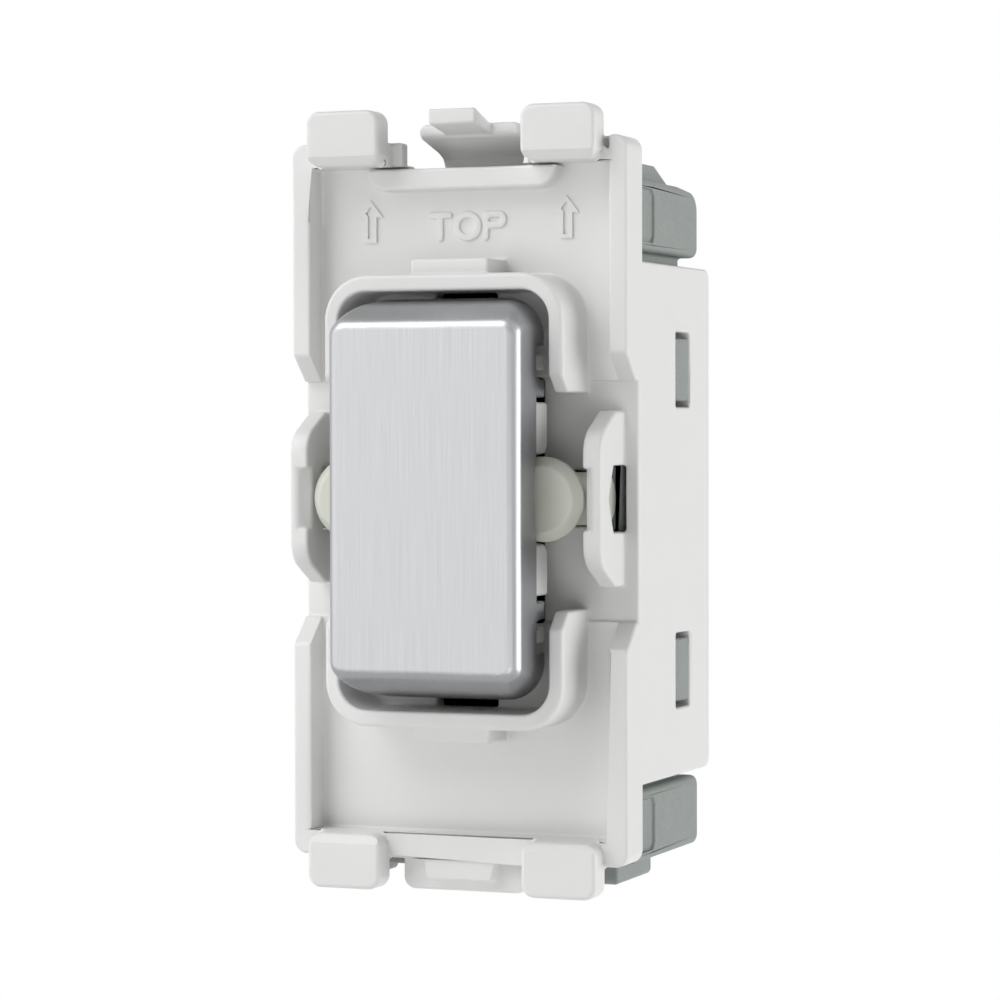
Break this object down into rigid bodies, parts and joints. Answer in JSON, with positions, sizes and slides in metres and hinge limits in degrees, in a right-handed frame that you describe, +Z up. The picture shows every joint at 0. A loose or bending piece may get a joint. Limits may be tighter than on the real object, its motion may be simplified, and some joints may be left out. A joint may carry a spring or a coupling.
{
  "type": "grid switch",
  "caption": "Rocker switch module for a grid plate: steel rocker in a white clip-in front frame on a grey terminal base.",
  "frame": {"origin": "centre of the flange, in the plane of the front of its side rims", "axes": "+X to the right and +Z up as seen from the front, +Y from the front to the back"},
  "size_m": [0.024, 0.0237, 0.0522],
  "materials": {
    "white_plastic": "satin",
    "carrier_plastic": "satin",
    "grey_plastic": "matte",
    "dolly_plastic": "satin",
    "nylon": "satin",
    "rocker_steel": "brushed",
    "spring_steel": "satin",
    "screw_steel": "bright",
    "brass": "satin",
    "silver": "satin"
  },
  "bodies": {
    "housing": {"front_frame": "white_plastic", "rear_base": "grey_plastic", "fulcrum_bracket": "brass", "fixed_strip_upper": "brass", "fixed_strip_lower": "brass", "fixed_contact_upper": "silver", "fixed_contact_lower": "silver", "terminal_upper": "brass", "terminal_lower": "brass", "terminal_common": "brass"},
    "rocker": {"rocker_cap": "rocker_steel", "rocker_carrier": "carrier_plastic", "rocker_dolly": "dolly_plastic", "plunger_spring": "spring_steel"},
    "plunger_body": {"plunger": "nylon"},
    "blade": {"contact_blade": "brass", "moving_contact_upper": "silver", "moving_contact_lower": "silver"},
    "screw_body_upper": {"screw_upper": "screw_steel"},
    "screw_body_lower": {"screw_lower": "screw_steel"},
    "screw_body_common": {"screw_common": "screw_steel"}
  },
  "joints": [
    {"name": "rocker_tilt", "type": "hinge", "parent": "housing", "child": "rocker", "pos_m": [0, 0.0011, 0.00017], "axis": [1, 0, 0], "range_deg": [-6.5, 6.5], "stiffness_Nm_per_rad": 0.3},
    {"name": "plunger_slide", "type": "slide", "parent": "rocker", "child": "plunger_body", "axis": [0, -1, 0], "range_m": [0, 0.0008], "stiffness_N_per_m": 400, "springref_m": -0.0015, "deforming": ["plunger_spring"]},
    {"name": "blade_tilt", "type": "hinge", "parent": "housing", "child": "blade", "pos_m": [0, 0.01185, 0.00017], "axis": [1, 0, 0], "range_deg": [-8.5, 8.5]},
    {"name": "screw_upper_turn", "type": "hinge", "parent": "housing", "child": "screw_body_upper", "pos_m": [-0.0059, 0.0135, 0.01848], "axis": [0, 1, 0], "continuous": true},
    {"name": "screw_lower_turn", "type": "hinge", "parent": "housing", "child": "screw_body_lower", "pos_m": [-0.0059, 0.0135, -0.02122], "axis": [0, 1, 0], "continuous": true},
    {"name": "screw_common_turn", "type": "hinge", "parent": "housing", "child": "screw_body_common", "pos_m": [0.0059, 0.0135, 0.01848], "axis": [0, 1, 0], "continuous": true}
  ],
  "couplings": [
    {"joint": "blade_tilt", "follows": "rocker_tilt", "ratio": -1.3}
  ]
}
